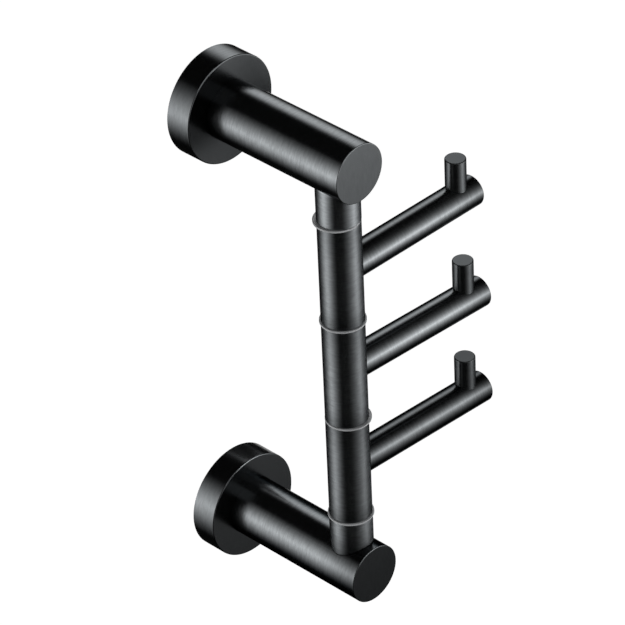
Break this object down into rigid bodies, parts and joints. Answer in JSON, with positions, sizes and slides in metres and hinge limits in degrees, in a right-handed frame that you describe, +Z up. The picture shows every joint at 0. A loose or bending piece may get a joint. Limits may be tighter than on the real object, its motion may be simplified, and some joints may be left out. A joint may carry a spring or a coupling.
{
  "type": "triple swivel towel hook",
  "caption": "Wall-mounted towel hook: an upright column between round posts carries horizontal arms, each with an upturned pin, that swivel on the column.",
  "frame": {"origin": "on the wall, at the centre of the four wall screw holes, midway between the two rosettes", "axes": "+Z up along the column's direction, +Y into the wall, +X to the right facing the wall; the posts stand out along -Y and the arms point along +X at rest"},
  "size_m": [0.1062, 0.088, 0.26],
  "materials": {
    "black_steel": "stainless steel with a satin black coating over fine brushing",
    "bare_steel": "plain turned stainless steel",
    "black_screws": "black oxide steel",
    "washers": "pale grey nylon",
    "bushes": "natural acetal"
  },
  "bodies": {
    "root": {"wall_plate_upper": "bare_steel", "wall_plate_lower": "bare_steel", "rosette_upper": "black_steel", "rosette_lower": "black_steel", "rosette_grub_screw_upper": "black_screws", "rosette_grub_screw_lower": "black_screws", "post_upper": "black_steel", "post_lower": "black_steel", "post_screw_upper": "bare_steel", "post_screw_lower": "bare_steel", "collar_upper": "black_steel", "collar_lower": "black_steel", "spindle": "bare_steel", "spindle_retaining_screw": "black_screws", "washer_top": "washers", "washer_upper_middle": "washers", "washer_lower_middle": "washers", "washer_bottom": "washers"},
    "hook_upper": {"sleeve_upper": "black_steel", "arm_upper": "black_steel", "pin_upper": "black_steel", "bush_upper_top": "bushes", "bush_upper_bottom": "bushes"},
    "hook_middle": {"sleeve_middle": "black_steel", "arm_middle": "black_steel", "pin_middle": "black_steel", "bush_middle_top": "bushes", "bush_middle_bottom": "bushes"},
    "hook_lower": {"sleeve_lower": "black_steel", "arm_lower": "black_steel", "pin_lower": "black_steel", "bush_lower_top": "bushes", "bush_lower_bottom": "bushes"}
  },
  "joints": [
    {"name": "hook_upper_swivel", "type": "hinge", "parent": "root", "child": "hook_upper", "pos_m": [0, -0.0748, 0], "axis": [0, 0, 1], "range_deg": [-240.7, 61.3]},
    {"name": "hook_middle_swivel", "type": "hinge", "parent": "root", "child": "hook_middle", "pos_m": [0, -0.0748, 0], "axis": [0, 0, 1], "range_deg": [-238.2, 63.8]},
    {"name": "hook_lower_swivel", "type": "hinge", "parent": "root", "child": "hook_lower", "pos_m": [0, -0.0748, 0], "axis": [0, 0, 1], "range_deg": [-238.3, 63.7]}
  ]
}
